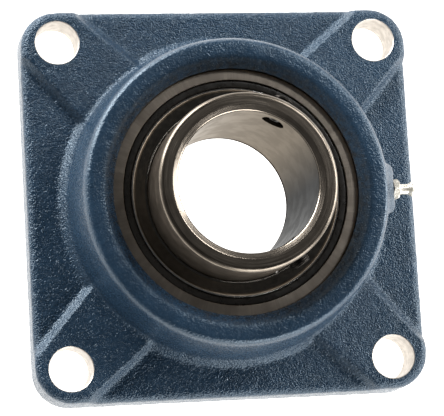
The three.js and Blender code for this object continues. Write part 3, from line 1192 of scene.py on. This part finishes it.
        # Painted highlight: the bead takes the bright copy of the flinger's steel.
        coat_where(flinger, BEAD_HIGHLIGHT_STEEL, lambda radius, z: radius > 44.3 and z > c + 11.35)
        back = mirrored_about(c)
        rear_seal = copy_of(seal, "seal_rear_moulded", back)
        rear_flinger = copy_of(flinger, "flinger_rear_pressed", back)
        deliver(seal, "outer_race", ["seal_front"], flat_faces=True)
        deliver(rear_seal, "outer_race", ["seal_rear"], flat_faces=True)
        deliver(flinger, "inner_race", ["flinger_front"], flat_faces=True)
        deliver(rear_flinger, "inner_race", ["flinger_rear"], flat_faces=True)


@dataclass(frozen=True)
class Cage:
    """The ribbon cage: two pressed halves that cup the balls, held by rivets."""

    centre: float = 29.0
    pitch_radius: float = 42.5
    ball_count: int = 10
    inner_radius: float = 39.6
    outer_radius: float = 45.4
    pocket_radius: float = 8.2
    sheet: float = 0.95
    gap: float = 0.15
    rivet_radius: float = 1.2
    columns: int = 6
    steps: int = 400

    def height(self, point: Vector) -> float:
        """Height of the ribbon's inner face over the parting plane at a place on it.

        Args:
            point: A point of the flat ribbon.

        Returns:
            The height, that of the pocket sphere over a ball and the gap elsewhere.
        """
        spacing = FULL_TURN / self.ball_count
        angle = math.atan2(point.y, point.x)
        off = (angle + spacing / 2) % spacing - spacing / 2
        radius = math.hypot(point.x, point.y)
        away = math.hypot(radius * math.cos(off) - self.pitch_radius, radius * math.sin(off))
        inside = max(self.pocket_radius**2 - away**2, 0.0)
        return max(math.sqrt(inside), self.gap)

    def half(self) -> bpy.types.Object:
        """Press one half from a flat ribbon and give it its thickness."""
        deselect_all()
        bpy.ops.mesh.primitive_circle_add(vertices=self.steps, radius=self.inner_radius)
        ribbon = bpy.context.object
        ribbon.name = "cage_half_front_pressed"
        step = (self.outer_radius - self.inner_radius) / self.columns
        with edit_mode(ribbon, whole=True):
            for i in range(self.columns):
                grow = 1 + step / (self.inner_radius + i * step)
                bpy.ops.mesh.extrude_region_move()
                bpy.ops.transform.resize(value=(grow, grow, 1), center_override=(0, 0, 0))
            select_whole()
            bpy.ops.mesh.normals_make_consistent(inside=False)
        for vertex in ribbon.data.vertices:
            vertex.co.z = self.height(vertex.co)
        apply_modifier(ribbon, "SMOOTH", factor=0.5, iterations=2)
        upward = ribbon.data.polygons[0].normal.z > 0
        side = 1.0 if upward else -1.0
        apply_modifier(
            ribbon, "SOLIDIFY", thickness=self.sheet, offset=side, use_even_offset=True
        )
        weld(ribbon)
        return ribbon

    def rivet(self) -> bpy.types.Object:
        """Turn one rivet with a domed head at each end."""
        under = self.gap + self.sheet + 0.05
        dome = [(2.1, under), (2.0, under + 0.35), (1.5, under + 0.7), (0.8, under + 0.86)]
        return turned("rivet_master", [
            (0, -under - 0.9),
            *[(r, -z) for r, z in reversed(dome)],
            (self.rivet_radius, -under), (self.rivet_radius, under),
            *dome,
            (0, under + 0.9),
        ], closed=False, steps=32)

    def build(self) -> None:
        """Press both halves, punch their holes and set the rivets."""
        front = self.half()
        for i in range(self.ball_count):
            hole = prism("rivet_hole", 24, self.rivet_radius + 0.2, -5, 5)
            turn = about_z(360 * (i + 0.5) / self.ball_count)
            place(hole, turn @ Matrix.Translation((self.pitch_radius, 0, 0)))
            combine(front, hole, "DIFFERENCE")
        coat(front, CAGE_SHEET)
        place(front, Matrix.Translation((0, 0, self.centre)))
        rear = copy_of(front, "cage_half_rear_pressed", mirrored_about(self.centre))
        deliver(front, "cage", ["cage_half_front"])
        deliver(rear, "cage", ["cage_half_rear"])
        master = self.rivet()
        coat(master, CAGE_SHEET)
        for i in range(self.ball_count):
            turn = about_z(360 * (i + 0.5) / self.ball_count)
            spot = turn @ Matrix.Translation((self.pitch_radius, 0, self.centre))
            node = f"cage_rivet_{i + 1:02d}"
            deliver(copy_of(master, f"{node}_headed", spot), "cage", [node])
        bpy.data.objects.remove(master, do_unlink=True)


@dataclass(frozen=True)
class SetScrews:
    """The pair of hexagon socket set screws that lock the collar to the shaft."""

    angles: tuple[float, ...] = (63.0, -57.0)
    height: float = 58.7
    outer_end: float = 41.05
    inner_end: float = 31.0
    crest: float = 4.75
    root: float = 4.2
    hole: float = 4.9
    pitch: float = 1.0
    socket_flats: float = 5.0
    socket_depth: float = 4.6

    def hole_tool(self, degrees: float) -> bpy.types.Object:
        """Make the cutter of one screw hole, with a countersink at the collar's outside."""
        tool = turned("screw_hole", [
            (0, 25), (self.hole, 25), (self.hole, 37.6), (self.hole + 3, 40.6), (0, 40.6),
        ], closed=False, steps=64)
        place(tool, about_z(degrees) @ along_x(self.height))
        return tool

    def screw(self) -> bpy.types.Object:
        """Make one screw along +Z: core, thread, hexagon socket and cup point."""
        low, high, crest = self.inner_end, self.outer_end, self.crest
        screw = turned("screw_master", [
            (0, low + 0.9), (1.6, low), (2.1, low), (self.root, low + 1.9),
            (self.root, high - 0.2), (3.6, high), (0, high),
        ], closed=False, steps=64)
        base, under = 0.44 * self.pitch, self.root - 0.25
        section = [(under, -base), (crest, -0.07), (crest, 0.07), (under, base)]
        ridge = helix_ridge("ridge", section, self.pitch, 11)
        place(ridge, Matrix.Translation((0, 0, low - 0.4)))
        combine(screw, ridge, "UNION")
        envelope = turned("envelope", [
            (0, low - 0.1), (2.6, low - 0.1), (crest + 0.1, low + 2.1),
            (crest + 0.1, high - 0.7), (crest - 0.6, high), (0, high),
        ], closed=False, steps=64)
        combine(screw, envelope, "INTERSECT")
        corner = self.socket_flats / math.sqrt(3)
        socket = prism("socket", 6, corner, high - self.socket_depth, high + 2)
        flare = turned("flare", [
            (0, high - 1.2), (2.4, high - 0.7), (3.2, high + 0.1), (0, high + 0.1),
        ], closed=False, steps=48)
        combine(screw, socket, "DIFFERENCE")
        combine(screw, flare, "DIFFERENCE")
        return screw

    def build(self) -> None:
        """Cut one screw and set it in both holes."""
        master = self.screw()
        coat(master, BLACK_SCREW)
        for i, degrees in enumerate(self.angles, start=1):
            name = f"set_screw_{i}"
            spot = about_z(degrees) @ along_x(self.height)
            deliver(copy_of(master, f"{name}_cut", spot), name, [name], 28)
        bpy.data.objects.remove(master, do_unlink=True)


@dataclass(frozen=True)
class GreaseNipple:
    """The nipple on the side of the boss, with its check ball and spring."""

    height: float = 37.0
    seat: float = 70.15
    hex_height: float = 2.7
    flats: float = 8.2
    tip: float = 81.2
    head_radius: float = 3.15
    neck_radius: float = 2.2
    thread_root: float = 2.75
    thread_crest: float = 3.1
    pitch: float = 0.9
    ball_radius: float = 0.95
    ball_depth: float = 2.2

    def hexagon(self) -> bpy.types.Object:
        """Make the hexagon and turn down its corners."""
        top = self.seat + self.hex_height
        corner = self.flats / math.sqrt(3)
        nut = prism("nipple_hexagon", 6, corner, self.seat, top)
        place(nut, about_z(30))
        dome = turned("dome", [
            (0, self.seat), (corner - 0.3, self.seat), (corner + 0.1, self.seat + 0.5),
            (corner + 0.1, top - 0.9), (self.flats / 2 - 0.1, top), (0, top),
        ], closed=False, steps=72)
        combine(nut, dome, "INTERSECT")
        return nut

    def body(self) -> None:
        """Turn the stem and head, join the hexagon and thread, and drill the grease way."""
        top, tip, head = self.seat + self.hex_height, self.tip, self.head_radius
        root, crest = self.thread_root, self.thread_crest
        stem = turned("grease_nipple_plated", [
            (0, 64.0), (2.3, 64.0), (root, 64.5), (root, self.seat + 0.2),
            (3.5, self.seat + 0.2), (3.5, top),
            *arc((3.5, top + 1.3), 1.3, -90, -180, 5),
            (self.neck_radius, tip - 4.0), (head - 0.25, tip - 2.95), (head, tip - 2.6),
            (head, tip - 2.0), (head - 0.3, tip - 1.5), (1.9, tip - 0.15), (1.5, tip), (0, tip),
        ], closed=False, steps=72)
        combine(stem, self.hexagon(), "UNION")
        section = [(root - 0.2, -0.38), (crest, -0.06), (crest, 0.06), (root - 0.2, 0.38)]
        ridge = helix_ridge("ridge", section, self.pitch, 5)
        place(ridge, Matrix.Translation((0, 0, 64.9)))
        combine(stem, ridge, "UNION")
        way = turned("way", [
            (0, 60), (1.25, 60), (1.25, tip - 1.5), (0.7, tip - 0.8), (0.7, tip - 0.4),
            (1.2, tip + 0.1), (0, tip + 0.1),
        ], closed=False, steps=32)
        combine(stem, way, "DIFFERENCE")
        place(stem, along_x(self.height))
        coat(stem, NIPPLE_ZINC)
        deliver(stem, "housing", ["grease_nipple_body"], 30)

    def check_ball(self) -> None:
        """Shape the check ball and set it behind the mouth of the nipple."""
        ball = lapped_ball("grease_check_ball", self.ball_radius, 7)
        place(ball, Matrix.Translation((self.tip - self.ball_depth, 0, self.height)))
        coat(ball, BALL_STEEL)
        deliver(ball, "grease_ball", ["grease_nipple_ball"], 60)

    def spring(self) -> None:
        """Wind the spring that presses the check ball into its seat."""
        wire, radius, turns, pitch = 0.13, 0.78, 8, 0.58
        start = self.tip - 3.3 - turns * pitch - 0.15
        section = arc((radius, 0), wire, 0, 315, 7)
        spring = helix_ridge("grease_check_spring", section, pitch, turns, 24)
        place(spring, along_x(self.height) @ Matrix.Translation((0, 0, start)))
        coat(spring, SPRING_WIRE)
        deliver(spring, "housing", ["grease_nipple_spring"], 60)
        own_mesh(spring)

    def build(self) -> None:
        """Make the body, the ball and the spring."""
        self.body()
        self.check_ball()
        self.spring()


# ---------------------------------------------------------------- studio


@dataclass(frozen=True)
class Studio:
    """A bright table, a white tent low all round, and a darker ceiling behind the camera."""

    table_size: float = 6.0
    table_light: float = 1.9
    tent_light: float = 0.7
    ceiling_light: float = 0.06
    tent_top: float = 0.15
    tent_fade: float = 0.28
    light_distance: float = 1.4
    azimuth: float = -53.794
    elevation: float = 75.715
    roll: float = 51.516
    distance: float = 0.92005
    aim: tuple[float, float, float] = (0.00165, -0.00072, 0.0)
    lens: float = 166.65

    def camera(self) -> None:
        """Set the camera over the object, turned about its line of sight."""
        a, e = math.radians(self.azimuth), math.radians(self.elevation)
        back = Vector((math.sin(a) * math.cos(e), -math.cos(a) * math.cos(e), math.sin(e)))
        camera = bpy.data.objects.new("camera", bpy.data.cameras.new("camera"))
        bpy.context.collection.objects.link(camera)
        camera.data.lens = self.lens
        camera.data.sensor_width = 36.0
        level = (-back).to_track_quat("-Z", "Y").to_matrix().to_4x4()
        turn = Matrix.Rotation(math.radians(self.roll), 4, "Z")
        spot = Vector(self.aim) + back * self.distance
        camera.matrix_world = Matrix.Translation(spot) @ level @ turn
        bpy.context.scene.camera = camera

    def table(self) -> None:
        """Lay the glowing table that the part stands on."""
        deselect_all()
        bpy.ops.mesh.primitive_plane_add(size=self.table_size, location=(0, 0, -0.0002))
        table = bpy.context.object
        table.name = "table"
        settle()
        s = Shader("table_glow")
        s.surface.inputs["Base Color"].default_value = (0.3, 0.3, 0.3, 1)
        s.surface.inputs["Roughness"].default_value = 0.8
        s.surface.inputs["Emission Color"].default_value = (1, 0.985, 0.96, 1)
        s.surface.inputs["Emission Strength"].default_value = self.table_light
        table.data.materials.append(s.material)

    def tent(self) -> None:
        """Light the surroundings: white from the horizon up, dim overhead."""
        world = bpy.data.worlds.new("tent")
        world.use_nodes = True
        bpy.context.scene.world = world
        tree = world.node_tree
        sky = tree.nodes["Background"]
        direction = tree.nodes.new("ShaderNodeTexCoord")
        split = tree.nodes.new("ShaderNodeSeparateXYZ")
        ramp = tree.nodes.new("ShaderNodeMapRange")
        ramp.interpolation_type = "SMOOTHSTEP"
        tree.links.new(direction.outputs["Generated"], split.inputs[0])
        tree.links.new(split.outputs["Z"], ramp.inputs["Value"])
        settings = {
            "From Min": self.tent_top, "From Max": self.tent_top + self.tent_fade,
            "To Min": self.tent_light, "To Max": self.ceiling_light,
        }
        for name, number in settings.items():
            ramp.inputs[name].default_value = number
        tree.links.new(ramp.outputs["Result"], sky.inputs["Strength"])
        sky.inputs["Color"].default_value = (1, 1, 1, 1)

    def softbox(
        self, name: str, azimuth: float, elevation: float, size: Point, radiance: float
    ) -> None:
        """Hang an oblong soft light that faces the part.

        Args:
            name: Name of the light.
            azimuth: Degrees round from +X.
            elevation: Degrees above the table.
            size: Width and height of the light in metres.
            radiance: Brightness of its face, where 1 is white.
        """
        a, e = math.radians(azimuth), math.radians(elevation)
        towards = Vector((math.cos(a) * math.cos(e), math.sin(a) * math.cos(e), math.sin(e)))
        lamp = bpy.data.objects.new(name, bpy.data.lights.new(name, "AREA"))
        bpy.context.collection.objects.link(lamp)
        lamp.data.shape = "RECTANGLE"
        lamp.data.size, lamp.data.size_y = size
        lamp.data.energy = radiance * math.pi * size[0] * size[1]
        lamp.location = towards * self.light_distance
        lamp.rotation_mode = "QUATERNION"
        lamp.rotation_quaternion = towards.to_track_quat("Z", "Y")

    def build(self) -> None:
        """Set up the camera, the table and the lights."""
        self.camera()
        self.table()
        self.tent()
        self.softbox("key_upper_left", 128, 15, (1.3, 0.7), 16.0)
        self.softbox("fill_lower_right", -62, 18, (1.5, 0.65), 7.0)
        self.softbox("fill_upper_right", 42, 43, (0.6, 0.45), 12.0)
        self.softbox("edge_right", 6, 14, (1.0, 0.5), 12.0)
        bpy.context.scene.view_settings.view_transform = "Standard"


def main() -> None:
    """Build the studio and every sub-assembly in order."""
    logging.basicConfig(level=logging.INFO, format="%(message)s")
    Studio().build()
    screws = SetScrews()
    bearing = BallBearing()
    Housing().build()
    bearing.outer_ring()
    bearing.inner_ring(screws)
    bearing.balls()
    bearing.seals()
    Cage().build()
    screws.build()
    GreaseNipple().build()


if __name__ == "__main__":
    main()
